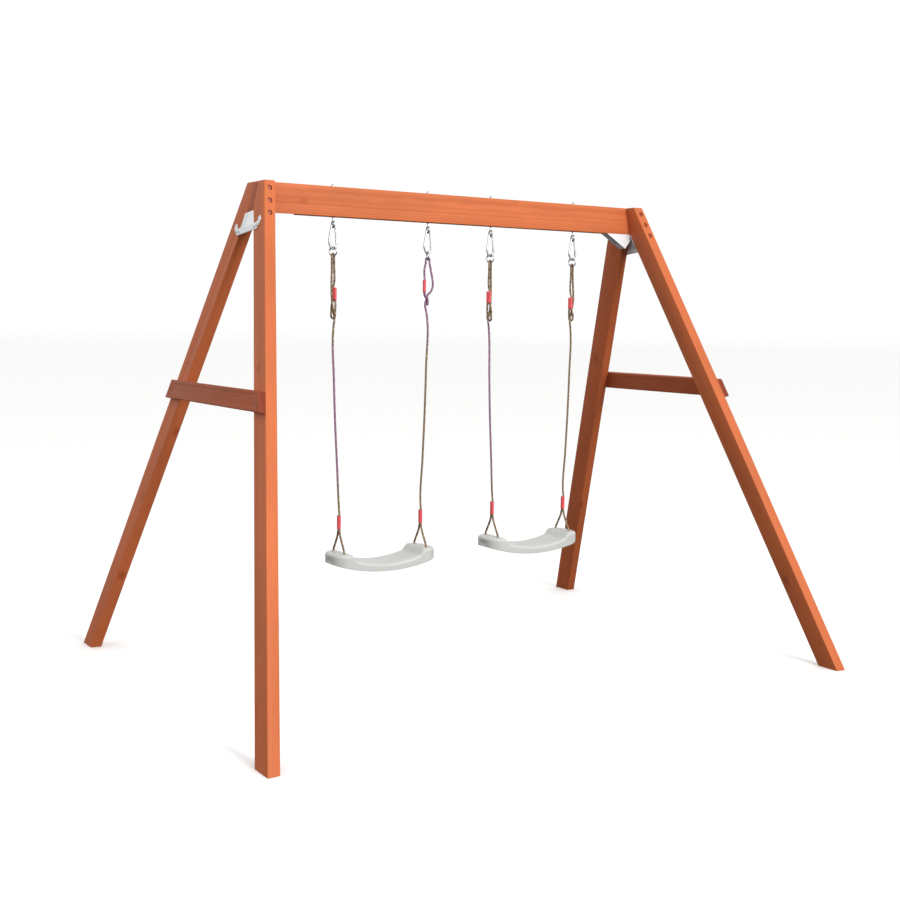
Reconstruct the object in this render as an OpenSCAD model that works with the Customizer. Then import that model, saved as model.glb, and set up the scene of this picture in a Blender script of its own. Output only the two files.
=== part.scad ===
// Garden swing set: a wooden beam on two splayed A-frames, with two rope swings.
// Millimetres. +X runs along the beam, +Y to the back, +Z up.
// Origin: on the ground, under the middle of the beam.

/* [Timber frame] */
// Height of the beam's top above the ground
frame_h = 1950; // [1750:10:2300]
// Length of the beam along its top edge
top_l = 1802; // [1680:2:2250]
// Length over both A-frames at the ground
base_l = 2598; // [2300:2:3100]
// Depth of an A-frame at the ground, front to back
base_d = 2050; // [1700:10:2450]
// Width of a leg, in the plane of its A-frame
leg_w = 98; // [86:1:116]
// Thickness of a leg
leg_t = 44; // [38:1:52]
// Wood that a leg has in front of the beam at its top
leg_top = 60; // [50:1:70]
// Height of the beam
beam_h = 116; // [98:1:140]
// Thickness of the beam
beam_t = 45; // [38:1:56]

/* [Crossbars] */
// Height of the left crossbar's lower edge above the ground
bar_z = 1105; // [800:5:1300]
// How much higher the right crossbar is fixed
bar_lift = 18; // [0:1:40]
// Height of a crossbar
bar_h = 76; // [62:1:90]
// Thickness of a crossbar
bar_t = 24; // [20:1:36]

/* [Bolts and screws] */
// Diameter of the apex bolts
bolt_d = 8; // [6:1:10]
// Width across flats of the apex bolt heads and nuts
bolt_flats = 13; // [12:1:14]
// Height of a bolt head or a nut
bolt_head_h = 6; // [4:0.5:7]
// Diameter of the counterbores that the heads sit in
bore_d = 20; // [18:1:24]
// Depth of the counterbores at their middle
bore_depth = 14; // [12:1:16]
// Diameter of a wood screw's shank
screw_d = 5; // [4:0.5:6]
// Diameter of a wood screw's head
screw_head_d = 10; // [8:0.5:12]
// Height of a wood screw's head
screw_head_h = 3; // [2:0.5:4]

/* [Steel plates] */
// Thickness of the sheet steel
sheet_t = 3; // [2:0.5:4]
// Length of a corner gusset along the underside of the beam
gusset_l = 125; // [100:1:150]
// Height of a corner gusset at the A-frame
gusset_h = 66; // [50:1:80]
// Half the width of a hook plate
hook_half_w = 126; // [112:1:138]
// How far a hook plate is turned, front end up
hook_turn = 5.5; // [0:0.5:8]

/* [Hanging hardware] */
// Distance between the middles of the two swings
swing_pitch = 732; // [680:4:800]
// Distance between the two eye bolts of one swing
eye_gap = 428; // [380:2:460]
// Wire diameter of an eye bolt
eye_wire = 7; // [6:0.5:9]
// Inside diameter of an eye
eye_hole = 16; // [14:0.5:20]
// Depth of an eye's middle under the beam
eye_drop = 28; // [24:1:40]
// Wire diameter of a carabiner
hook_wire = 8; // [6:0.5:9]
// Length of a carabiner over its ends
hook_l = 100; // [90:1:120]
// Wire diameter of a rope ring
ring_wire = 6; // [5:0.5:8]
// Inside diameter of a rope ring
ring_hole = 28; // [26:0.5:34]
// Play between pieces that hang in each other
link_play = 0.3; // [0.2:0.05:0.6]

/* [Ropes and sleeves] */
// Diameter of a rope
rope_d = 9; // [7:0.5:9.5]
// Length of an upper sleeve
upper_sleeve_l = 48; // [36:1:56]
// Length of a lower sleeve
lower_sleeve_l = 54; // [40:1:60]
// Wall of a sleeve
sleeve_wall = 1.6; // [1:0.1:2.4]

/* [Seats] */
// Height of the left seat's lower edge above the ground, at its middle
seat_z = 420; // [350:5:500]
// How much higher the right seat hangs
seat_lift = 12; // [0:1:40]
// Length of a seat
seat_l = 460; // [430:2:500]
// Depth of a seat, front to back
seat_w = 165; // [150:1:200]
// Distance between the rope holes along a seat
hole_gap_x = 376; // [360:2:390]
// Distance between the rope holes across a seat
hole_gap_y = 100; // [84:2:110]
// Wall of a seat
seat_wall = 4; // [3:0.5:5]
// Height of the seat's skirt at its middle
seat_mid_h = 31; // [25:1:40]

/* [Hidden] */
$fn = 48;

WOOD = "#D9754A";
ZINC = "#C9CCD1";
WHITE_STEEL = "#EEEFF0";
PLASTIC = "#DDDFDC";
ROPE = "#8C7455";
RED = "#E5606A";

// Frame geometry.
splay = atan((base_l - top_l) / 2 / frame_h); // outward lean of an A-frame
slant_h = frame_h / cos(splay);               // height measured in the A-frame's plane
top_y = beam_t / 2 + leg_top;                 // half depth of an A-frame at its top
lean = (base_d / 2 - top_y) / slant_h;        // a leg's run to the front per unit of slant height
leg_run = leg_w * sqrt(1 + lean * lean);      // width of a leg measured along Y
beam_z = frame_h - beam_h;                    // underside of the beam
leg_tx = leg_t / cos(splay);                  // thickness of a leg measured along X
far = 4 * frame_h;                            // bigger than the whole frame
bolt_drops = [30, 78, 125];                   // the apex bolts' depths under the top
hole_play = 0.3;                              // play of a shank in its hole

// Hanging points, left to right: the place, the swing, and the side of the swing.
hangers = [for (swing = [0, 1]) for (side = [-1, 1])
    [(swing - 0.5) * swing_pitch + side * eye_gap / 2, swing, side]];
// The angle about Z of each ring, from the XZ plane.
ring_turn = [120, -107, -62, -66];
// Half the gap between the strands of each noose.
noose_half = [8, 13, 8, 8];
// Depths of the upper sleeve's middle and of the noose's end under the ring, for each rope.
sleeve_drop = [155, 114, 153, 170];
noose_drop = [252, 190, 252, 246];

// Vertical places of the hanging hardware.
eye_z = beam_z - eye_drop;
eye_r = (eye_hole + eye_wire) / 2;
bar_top_z = eye_z - eye_hole / 2 + hook_wire / 2 + link_play; // the carabiner's top bar
bar_low_z = bar_top_z - hook_l + hook_wire;                   // the carabiner's bottom bar
ring_r = (ring_hole + ring_wire) / 2;
ring_z = bar_low_z + hook_wire / 2 + link_play - ring_hole / 2;
rope_top_z = ring_z - ring_hole / 2 + rope_d / 2 + link_play; // where a noose lies in its ring

function out_x(z) = top_l / 2 + (base_l - top_l) / 2 * (frame_h - z) / frame_h;
function edge_y(z) = top_y + (base_d / 2 - top_y) * (frame_h - z) / frame_h;
function slant(z) = (z - frame_h) / cos(splay);
function outer_edge(v) = top_y - lean * v;

// Puts a child of the right end at the left end too, as its mirror image.
module at_end(side) {
    mirror([side < 0 ? 1 : 0, 0, 0]) children();
}

// The right A-frame's own plane: X out of it, Z up its slope, origin at its top outer edge.
module in_a_frame() {
    translate([top_l / 2, 0, frame_h]) rotate([0, -splay, 0]) children();
}

// A polygon drawn in the plane of the A-frame, from x_low to x_high out of it.
module plate(x_low, x_high) {
    translate([x_low, 0, 0]) rotate([90, 0, 90]) linear_extrude(x_high - x_low) children();
}

// Everything between two heights, behind a plane across Y.
module keep(y_low, z_low, z_high) {
    translate([-far / 2, y_low, z_low]) cube([far, far, z_high - z_low]);
}

// A bar along Y.
module along_y(x, y, z, d, l) {
    translate([x, y, z]) rotate([-90, 0, 0]) cylinder(d = d, h = l);
}

// ---------- Timber ----------

// Places of the apex bolts of the right end, at the middle of the legs.
function bolt_z(i) = frame_h - bolt_drops[i];
function bolt_x(i) = out_x(bolt_z(i)) - leg_tx / 2;
function bolt_seat(i) = edge_y(bolt_z(i)) - bore_depth;

module bolt_holes() {
    for (i = [0:len(bolt_drops) - 1]) {
        along_y(bolt_x(i), -far / 2, bolt_z(i), bolt_d + 2 * hole_play, far);
        along_y(bolt_x(i), bolt_seat(i), bolt_z(i), bore_d, far);
        along_y(bolt_x(i), -bolt_seat(i) - far, bolt_z(i), bore_d, far);
    }
}

module top_beam() {
    color(WOOD) difference() {
        rotate([90, 0, 0]) linear_extrude(beam_t, center = true) polygon([
            [-top_l / 2, frame_h],
            [top_l / 2, frame_h],
            [out_x(beam_z), beam_z],
            [-out_x(beam_z), beam_z]
        ]);
        for (side = [-1, 1]) at_end(side) bolt_holes();
        for (h = hangers) translate([h[0], 0, beam_z - 1])
            cylinder(d = eye_wire + 1 + 2 * hole_play, h = beam_h + 2);
        for (side = [-1, 1]) at_end(side) beam_screw_holes();
    }
}

// A back leg at the right end, with the screw holes of the crossbar that it carries on its own side.
module back_leg(side) {
    difference() {
        intersection() {
            in_a_frame() plate(-leg_t, 0) polygon([
                [outer_edge(leg_w), leg_w],
                [outer_edge(-slant_h - leg_w), -slant_h - leg_w],
                [outer_edge(-slant_h - leg_w) - leg_run, -slant_h - leg_w],
                [outer_edge(leg_w) - leg_run, leg_w]
            ]);
            keep(beam_t / 2, 0, frame_h);
        }
        bolt_holes();
        leg_screw_holes();
        bar_screw_holes(side);
    }
}

module leg(side, front) {
    color(WOOD) at_end(side) difference() {
        mirror([0, front ? 1 : 0, 0]) back_leg(side);
        plate_screw_holes();
    }
}

module leg_front_left() { leg(-1, true); }
module leg_back_left() { leg(-1, false); }
module leg_front_right() { leg(1, true); }
module leg_back_right() { leg(1, false); }

// Height of a crossbar's lower edge.
function bar_low(side) = bar_z + (side > 0 ? bar_lift : 0);

// A crossbar lies on the outer face of its A-frame, with its ends cut along the legs.
module crossbar(side) {
    low = slant(bar_low(side));
    high = low + bar_h;
    color(WOOD) at_end(side) difference() {
        in_a_frame() plate(0, bar_t) polygon([
            [-outer_edge(low), low],
            [outer_edge(low), low],
            [outer_edge(high), high],
            [-outer_edge(high), high]
        ]);
        for (y = [0, 1]) mirror([0, y, 0]) bar_screw_holes(side);
    }
}

module crossbar_left() { crossbar(-1); }
module crossbar_right() { crossbar(1); }

// ---------- Apex bolts ----------

module hexagon(flats, h) {
    cylinder(d = flats / cos(30), h = h, $fn = 6);
}

// Three bolts go from the front leg through the beam into the back leg.
module apex_bolts(side) {
    color(ZINC) at_end(side) for (i = [0:len(bolt_drops) - 1]) {
        along_y(bolt_x(i), -bolt_seat(i), bolt_z(i), bolt_d, 2 * bolt_seat(i) + bolt_head_h + 2);
        translate([bolt_x(i), -bolt_seat(i), bolt_z(i)]) rotate([90, 0, 0])
            hexagon(bolt_flats, bolt_head_h);
    }
}

module apex_nuts(side) {
    color(ZINC) at_end(side) for (i = [0:len(bolt_drops) - 1])
        translate([bolt_x(i), bolt_seat(i), bolt_z(i)]) rotate([-90, 0, 0]) difference() {
            hexagon(bolt_flats, bolt_head_h);
            translate([0, 0, -1]) cylinder(d = bolt_d, h = bolt_head_h + 2);
        }
}

module apex_bolts_left() { apex_bolts(-1); }
module apex_bolts_right() { apex_bolts(1); }
module apex_nuts_left() { apex_nuts(-1); }
module apex_nuts_right() { apex_nuts(1); }

// ---------- Screws ----------

// A round-headed wood screw: the head is above z = 0, the shank below it.
module screw(l) {
    cylinder(d = screw_head_d, h = screw_head_h);
    translate([0, 0, -l]) cylinder(d = screw_d, h = l + 1);
}

module pilot(l) {
    translate([0, 0, -l]) cylinder(d = screw_d, h = l + 1);
}

// The crossbar's screws: two in each leg, sunk flush into the bar's outer face.
bar_screw_l = 50;
bar_screw_gap = 36;
module at_bar_screws(side) {
    for (dz = [-1, 1]) {
        v = slant(bar_low(side)) + bar_h / 2 + dz * bar_screw_gap / 2;
        in_a_frame() translate([bar_t - screw_head_h, outer_edge(v) - leg_run / 2, v])
            rotate([0, 90, 0]) children();
    }
}
module bar_screw_holes(side) {
    at_bar_screws(side) {
        pilot(bar_screw_l);
        cylinder(d = screw_head_d, h = 2 * screw_head_h);
    }
}

module crossbar_screws() {
    color(WOOD) for (side = [-1, 1]) at_end(side) for (y = [0, 1]) mirror([0, y, 0])
        at_bar_screws(side) screw(bar_screw_l);
}

// ---------- Corner gussets ----------

gusset_x = out_x(beam_z) - leg_tx;         // where the A-frame's inner face meets the beam
gusset_end = gusset_x - gusset_l;          // the gusset's end along the beam
gusset_in = gusset_x + leg_tx * 0.75;      // how far the top flange runs in between the legs
gusset_blunt = 28;                         // height of the gusset's end at the A-frame
ear_l = 38;                                // length of the ears that lie on the legs
beam_screw_xs = [gusset_end + 34, gusset_end + 80];
ear_screw_v = -26;                         // the ear screws' place under the top flange
gusset_screw_l = 32;

module beam_screw_holes() {
    for (x = beam_screw_xs) translate([x, 0, beam_z - sheet_t]) mirror([0, 0, 1])
        pilot(gusset_screw_l);
}

// A place on the back leg's inner edge, v below the underside of the beam, facing it.
module on_leg_edge(v) {
    in_a_frame() translate([-leg_t / 2, outer_edge(slant(beam_z) + v) - leg_run, slant(beam_z) + v])
        rotate([-90 + atan(lean), 0, 0]) mirror([0, 0, 1]) children();
}
module leg_screw_holes() {
    on_leg_edge(ear_screw_v) translate([0, 0, sheet_t]) pilot(gusset_screw_l);
}

// The gusset's side view: flat under the beam, sloping down to a blunt end at the A-frame.
module gusset_side(inset) {
    slope = (gusset_h - inset) / (gusset_l - inset);
    polygon([
        [gusset_end + inset, beam_z],
        [out_x(beam_z) - leg_tx - inset, beam_z],
        [out_x(beam_z - gusset_blunt) - leg_tx - inset, beam_z - gusset_blunt - inset],
        [gusset_end + gusset_l * 0.82, beam_z - gusset_h * 0.96 + inset * 1.2]
    ]);
}

module corner_gusset(side) {
    color(WHITE_STEEL) at_end(side) difference() {
        union() {
            // Folded box: two cheeks and a sloping web.
            difference() {
                rotate([90, 0, 0]) linear_extrude(beam_t, center = true) gusset_side(0);
                translate([0, 0, -sheet_t]) rotate([90, 0, 0])
                    linear_extrude(beam_t - 2 * sheet_t, center = true) gusset_side(sheet_t);
                translate([gusset_x - sheet_t - 1, -beam_t / 2 + sheet_t, beam_z - gusset_h])
                    cube([leg_t, beam_t - 2 * sheet_t, gusset_h - sheet_t]);
            }
            // Top flange, and the part of it that fills the gap between the legs.
            translate([gusset_x - 20, -beam_t / 2, beam_z - sheet_t])
                cube([gusset_in - gusset_x + 20, beam_t, sheet_t]);
            translate([gusset_x + leg_tx * 0.25, -ear_gap, beam_z - sheet_t])
                cube([leg_tx / 2, 2 * ear_gap, sheet_t]);
            // Ears that lie on the inner edges of the legs.
            for (y = [0, 1]) mirror([0, y, 0]) intersection() {
                in_a_frame() plate(-leg_t, -leg_t * 0.25) polygon([
                    [ear_y(leg_w), leg_w],
                    [ear_y(slant(beam_z) - ear_l), slant(beam_z) - ear_l],
                    [ear_y(slant(beam_z) - ear_l) - sheet_t, slant(beam_z) - ear_l],
                    [ear_y(leg_w) - sheet_t, leg_w]
                ]);
                keep(-far / 2, 0, beam_z);
            }
        }
        beam_screw_holes();
        for (y = [0, 1]) mirror([0, y, 0]) leg_screw_holes();
        bolt_holes();
    }
}
function ear_y(v) = outer_edge(v) - leg_run;
// Half the gap between the legs' inner faces under the beam.
ear_gap = ear_y(slant(beam_z) + leg_t * tan(splay));

module corner_gusset_left() { corner_gusset(-1); }
module corner_gusset_right() { corner_gusset(1); }

module gusset_screws() {
    color(ZINC) for (side = [-1, 1]) at_end(side) {
        for (x = beam_screw_xs) translate([x, 0, beam_z - sheet_t]) mirror([0, 0, 1])
            screw(gusset_screw_l);
        for (y = [0, 1]) mirror([0, y, 0]) on_leg_edge(ear_screw_v)
            translate([0, 0, sheet_t]) screw(gusset_screw_l);
    }
}

// ---------- Hook plates ----------

plate_screw_l = 30;
// The right half of the plate's outline, from the bottom up: distance from the middle, height.
hook_bottom = -194; // the plate's lower edge, from the frame's top
hook_pivot_h = 40;  // height of the point that it is turned about, over its lower edge
function hook_half() = [
    [hook_half_w - 34, 0],
    [hook_half_w, 33],
    [hook_half_w - 14, 50],
    [hook_half_w - 26, 47],
    [hook_half_w - 28, 34],
    [hook_half_w - 42, 26],
    [hook_half_w - 60, 27],
    [hook_half_w - 70, 36],
    [hook_half_w - 88, 80]
];
function hook_mirror(i) = [-hook_half()[i][0], hook_half()[i][1]];
plate_screw_places = [[72, 12], [94, 16]];

// The plate's own plane: X out of it, Z up from its lower edge, turned about its middle.
module on_plate() {
    in_a_frame() translate([0, 0, hook_bottom / cos(splay) + hook_pivot_h]) rotate([-hook_turn, 0, 0])
        translate([0, 0, -hook_pivot_h]) children();
}
module at_plate_screws() {
    for (y = [-1, 1]) for (p = plate_screw_places)
        on_plate() translate([sheet_t, y * p[0], p[1]]) rotate([0, 90, 0]) children();
}
module plate_screw_holes() {
    at_plate_screws() pilot(plate_screw_l);
}

module hook_plate(side) {
    color(WHITE_STEEL) at_end(side) difference() {
        on_plate() plate(0, sheet_t)
            polygon(concat(hook_half(), [for (i = [len(hook_half()) - 1:-1:0]) hook_mirror(i)]));
        plate_screw_holes();
    }
}
module hook_plate_left() { hook_plate(-1); }
module hook_plate_right() { hook_plate(1); }

module hook_plate_screws() {
    color(ZINC) for (side = [-1, 1]) at_end(side) at_plate_screws() screw(plate_screw_l);
}

// ---------- Eye bolts ----------

nut_flats = 13;
nut_h = 6.5;
washer_d = 22;
washer_h = 1.6;
eye_shank_d = eye_wire + 1;
eye_shank_end = frame_h + washer_h + nut_h + 4;

// A ring of wire in the XZ plane.
module wire_ring(r, wire) {
    rotate([90, 0, 0]) rotate_extrude() translate([r, 0]) circle(d = wire);
}

module eye_bolt(i) {
    color(ZINC) translate([hangers[i][0], 0, 0]) {
        translate([0, 0, eye_z]) rotate([0, 0, 90]) wire_ring(eye_r, eye_wire);
        translate([0, 0, eye_z + eye_r]) cylinder(d = eye_shank_d, h = eye_shank_end - eye_z - eye_r);
    }
}
module eye_bolt_1() { eye_bolt(0); }
module eye_bolt_2() { eye_bolt(1); }
module eye_bolt_3() { eye_bolt(2); }
module eye_bolt_4() { eye_bolt(3); }

module eye_bolt_nuts() {
    color(ZINC) for (h = hangers) translate([h[0], 0, frame_h + washer_h]) difference() {
        hexagon(nut_flats, nut_h);
        translate([0, 0, -1]) cylinder(d = eye_shank_d, h = nut_h + 2);
    }
}
module eye_bolt_washers() {
    color(ZINC) for (h = hangers) translate([h[0], 0, frame_h]) difference() {
        cylinder(d = washer_d, h = washer_h);
        translate([0, 0, -1]) cylinder(d = eye_shank_d + 2 * hole_play, h = washer_h + 2);
    }
}

// ---------- Carabiners ----------

hook_top_r = 8;                         // centreline radius of the top bend
hook_low_r = 12;                        // centreline radius of the bottom bend
hook_half = 18;                         // half the width at the widest place
hook_wide_z = bar_low_z + 26;           // height of the widest place
hook_pivot = [16.5, bar_low_z + 20];    // the gate's pivot, in the XZ plane
wire_end = hook_pivot - [3.5, 7.8];     // where the round wire ends under the pivot
nose_z = bar_top_z - 16;                // lower end of the nose that the gate shuts on
corner_swell = 0.3;                     // how much thicker the wire is at its corners
gate_d = 6.8;
gate_play = 0.3;
gate_top = [hook_top_r + 1.5, nose_z - gate_play - (gate_d + corner_swell) / 2];
tongue_t = 3.6;
tongue_w = 6;
fork_w = 6.6;
fork_d = 7.6;
pin_d = 3;
pin_play = 0.05;

// A round bar between two places in the XZ plane, and a ball that rounds a corner.
module rod(a, b, d) {
    translate([a[0], 0, a[1]]) rotate([0, atan2(b[0] - a[0], b[1] - a[1]), 0])
        cylinder(d = d, h = norm(b - a));
}
module ball(p, d) {
    translate([p[0], 0, p[1]]) sphere(d = d + corner_swell);
}

// Half a turn of wire in the XZ plane, above its centre.
module bend(z, r, up) {
    translate([0, 0, z]) mirror([0, 0, up ? 0 : 1]) rotate([90, 0, 0])
        rotate_extrude(angle = 180) translate([r, 0]) circle(d = hook_wire);
}

// The steel wire of a carabiner, from its nose over the top, down its back and round to the pivot.
module carabiner(i) {
    top_z = bar_top_z - hook_top_r;
    low_z = bar_low_z + hook_low_r;
    back = [-hook_half, hook_wide_z];
    color(ZINC) translate([hangers[i][0], 0, 0]) difference() {
        union() {
            rod([hook_top_r, top_z], [hook_top_r + 1, nose_z], hook_wire);
            ball([hook_top_r, top_z], hook_wire);
            bend(top_z, hook_top_r, true);
            ball([-hook_top_r, top_z], hook_wire);
            rod([-hook_top_r, top_z], back, hook_wire);
            ball(back, hook_wire);
            rod(back, [-hook_low_r, low_z], hook_wire);
            ball([-hook_low_r, low_z], hook_wire);
            bend(low_z, hook_low_r, false);
            ball([hook_low_r, low_z], hook_wire);
            rod([hook_low_r, low_z], wire_end, hook_wire);
            ball(wire_end, hook_wire);
            // The tongue that the gate's fork straddles.
            translate([wire_end[0], 0, wire_end[1]])
                rotate([0, atan2(hook_pivot[0] - wire_end[0], hook_pivot[1] - wire_end[1]), 0])
                    translate([-tongue_w / 2, -tongue_t / 2, 0])
                        cube([tongue_w, tongue_t, norm(hook_pivot - wire_end)]);
            along_y(hook_pivot[0], -tongue_t / 2, hook_pivot[1], tongue_w + 0.4, tongue_t);
        }
        along_y(hook_pivot[0], -hook_wire, hook_pivot[1], pin_d + 2 * pin_play, 2 * hook_wire);
    }
}
module carabiner_1() { carabiner(0); }
module carabiner_2() { carabiner(1); }
module carabiner_3() { carabiner(2); }
module carabiner_4() { carabiner(3); }

// The sprung gate: a rod with a fork and a rivet at its lower end.
module carabiner_gate(i) {
    color(ZINC) translate([hangers[i][0], 0, 0]) {
        difference() {
            union() {
                rod(hook_pivot, gate_top, gate_d);
                ball(gate_top, gate_d);
                along_y(hook_pivot[0], -fork_w / 2, hook_pivot[1], fork_d, fork_w);
            }
            translate([hook_pivot[0], 0, hook_pivot[1]])
                cube([2 * fork_d, tongue_t + 2 * gate_play, fork_d + 5], center = true);
        }
        along_y(hook_pivot[0], -fork_w / 2 - 0.8, hook_pivot[1], pin_d, fork_w + 1.6);
    }
}
module carabiner_gate_1() { carabiner_gate(0); }
module carabiner_gate_2() { carabiner_gate(1); }
module carabiner_gate_3() { carabiner_gate(2); }
module carabiner_gate_4() { carabiner_gate(3); }

// ---------- Rope rings ----------

module rope_ring(i) {
    color(ZINC) translate([hangers[i][0], 0, ring_z]) rotate([0, 0, ring_turn[i]])
        wire_ring(ring_r, ring_wire);
}
module rope_ring_1() { rope_ring(0); }
module rope_ring_2() { rope_ring(1); }
module rope_ring_3() { rope_ring(2); }
module rope_ring_4() { rope_ring(3); }

// ---------- Ropes ----------

pair = rope_d / 2 + 0.2;                 // half the distance between two strands in a sleeve
eye_spread = rope_d + 0.3;               // half the width of the small eye at a noose's end
wrap = rope_d / 2 + ring_wire / 2 + link_play; // radius of the noose round its ring
hole_top = 78;                           // height of a rope hole's mouth over the seat's lower edge
under_seat = hole_top - seat_wall - rope_d / 2 - 0.8; // height of the rope's crossing under the seat
lower_sleeve_z = 202;                    // height of a lower sleeve's middle over the seat's lower edge

function seat_low(swing) = seat_z + swing * seat_lift;

// The noose, from the rope's end in the upper sleeve, round the small eye, up over the ring and
// down through the small eye. Each point is [across the noose, out of its plane, height].
function noose(w, d, e, l) = [
    [-w, pair, 10 - d],
    [-w, pair, -l / 2 - d],
    [-w + 3, 8, -l / 2 - 14 - d],
    [-1, eye_spread, 22 - e],
    [0, eye_spread, 10 - e],
    [0, 7, 3 - e],
    [0, 0, -e],
    [0, -7, 3 - e],
    [0, -eye_spread, 10 - e],
    [-1, -eye_spread, 22 - e],
    [-w + 3, -8, -l / 2 - 14 - d],
    [-w, -pair, -l / 2 - d],
    [-w, -pair, l / 2 - d],
    [-w, -1, l / 2 + 14 - d],
    [-w, 0, -45],
    [-wrap, 0, -18],
    [-wrap, 0, -wrap],
    [-0.87 * wrap, 0, -0.5 * wrap],
    [-0.5 * wrap, 0, -0.13 * wrap],
    [0, 0, 0],
    [0.5 * wrap, 0, -0.13 * wrap],
    [0.87 * wrap, 0, -0.5 * wrap],
    [wrap, 0, -wrap],
    [wrap, 0, -18],
    [w, 0, -45],
    [w, 0, -l / 2 - d],
    [3, 0, 42 - e],
    [-1, 0, 28 - e],
    [-eye_spread, 0, 4 - e],
    [-eye_spread, 0, -6 - e],
    [-4, 0, -30 - e],
    [0, 0, -60 - e]
];

// The lower end: through the lower sleeve, down to the front hole, under the seat, up through the
// back hole and into the sleeve again. Each point is [to the back, height over the seat's edge].
function lower_end(y, l) = [
    [-1, lower_sleeve_z + l / 2 + 26],
    [-pair, lower_sleeve_z + l / 2],
    [-pair, lower_sleeve_z - l / 2],
    [-8, 160],
    [-y + 8, 98],
    [-y + 1, 86],
    [-y, 80],
    [-y, under_seat + 7],
    [-y + 0.8, under_seat + 3.2],
    [-y + 3.5, under_seat + 0.8],
    [-y + 8, under_seat],
    [0, under_seat],
    [y - 8, under_seat],
    [y - 3.5, under_seat + 0.8],
    [y - 0.8, under_seat + 3.2],
    [y, under_seat + 7],
    [y, 80],
    [y - 1, 86],
    [y - 8, 98],
    [8, 160],
    [pair, lower_sleeve_z - l / 2],
    [pair, lower_sleeve_z + l / 2 - 15]
];

// The slight waves of the long stretch: share of the way down, offset along X.
waves = [[0.25, 3], [0.5, 4], [0.75, 2]];

function turned(p, a) = [p[0] * cos(a) - p[1] * sin(a), p[0] * sin(a) + p[1] * cos(a), p[2]];
function route(i) =
    let (
        h = hangers[i],
        low = seat_low(h[1]),
        mid = h[0] - h[2] * eye_gap / 2,
        upper = [for (p = noose(noose_half[i], sleeve_drop[i], noose_drop[i], upper_sleeve_l))
            [h[0], 0, rope_top_z] + turned(p, ring_turn[i] + 90)],
        lower = [for (p = lower_end(hole_gap_y / 2, lower_sleeve_l))
            [mid + h[2] * hole_gap_x / 2, p[0], low + p[1]]],
        a = upper[len(upper) - 1],
        b = lower[0]
    )
    concat(upper, [for (w = waves) a + (b - a) * w[0] + [h[2] * w[1], 0, 0]], lower);

function unit(v) = v / norm(v);
function along(p, i) = unit(p[min(i + 1, len(p) - 1)] - p[max(i - 1, 0)]);
// Carries a direction across the tube along the route without twisting it.
function carried(p, i, across) =
    i == len(p) ? [] :
    let (t = along(p, i), n = unit(across - (across * t) * t)) concat([n], carried(p, i + 1, n));

module tube(p, d, sides = 8) {
    n = carried(p, 0, [1, 0, 0]);
    r = d / 2;
    points = [for (i = [0:len(p) - 1]) for (j = [0:sides - 1])
        let (a = 360 * j / sides, m = cross(along(p, i), n[i])) p[i] + r * (cos(a) * n[i] + sin(a) * m)];
    last = (len(p) - 1) * sides;
    faces = concat(
        [[for (j = [0:sides - 1]) j]],
        [[for (j = [sides - 1:-1:0]) last + j]],
        [for (i = [0:len(p) - 2]) for (j = [0:sides - 1])
            [i * sides + j, (i + 1) * sides + j, i * sides + (j + 1) % sides]],
        [for (i = [0:len(p) - 2]) for (j = [0:sides - 1])
            [(i + 1) * sides + j, (i + 1) * sides + (j + 1) % sides, i * sides + (j + 1) % sides]]
    );
    polyhedron(points, faces);
}

module rope(i) {
    color(ROPE) tube(route(i), rope_d);
}
module rope_1() { rope(0); }
module rope_2() { rope(1); }
module rope_3() { rope(2); }
module rope_4() { rope(3); }

// ---------- Sleeves ----------

// A flat-sided tube that holds two strands side by side along Y.
module two_strands(d) {
    for (y = [-1, 1]) translate([0, y * pair]) circle(d = d);
    square([d, 2 * pair], center = true);
}
module sleeve(l) {
    translate([0, 0, -l / 2]) linear_extrude(l) difference() {
        two_strands(rope_d + 0.3 + 2 * sleeve_wall);
        two_strands(rope_d + 0.3);
    }
}

module upper_sleeve(i) {
    color(RED) translate([hangers[i][0], 0, rope_top_z - sleeve_drop[i]]) rotate([0, 0, ring_turn[i] + 90])
        translate([-noose_half[i], 0, 0]) sleeve(upper_sleeve_l);
}
module upper_sleeve_1() { upper_sleeve(0); }
module upper_sleeve_2() { upper_sleeve(1); }
module upper_sleeve_3() { upper_sleeve(2); }
module upper_sleeve_4() { upper_sleeve(3); }

module lower_sleeve(i) {
    h = hangers[i];
    color(RED) translate([h[0] + h[2] * (hole_gap_x - eye_gap) / 2, 0, seat_low(h[1]) + lower_sleeve_z])
        sleeve(lower_sleeve_l);
}
module lower_sleeve_1() { lower_sleeve(0); }
module lower_sleeve_2() { lower_sleeve(1); }
module lower_sleeve_3() { lower_sleeve(2); }
module lower_sleeve_4() { lower_sleeve(3); }

// ---------- Seats ----------

corner_r = 55;          // plan radius of the seat's corners
rise = 22;              // rise of the sitting surface from its middle to the shoulders
shoulder_in = 145;      // where the shoulders start
shoulder_out = 166;     // where the raised ends start
hole_d = rope_d + 1.4;
ribs = [-105, -35, 35, 105];
rib_t = 3;

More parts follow.
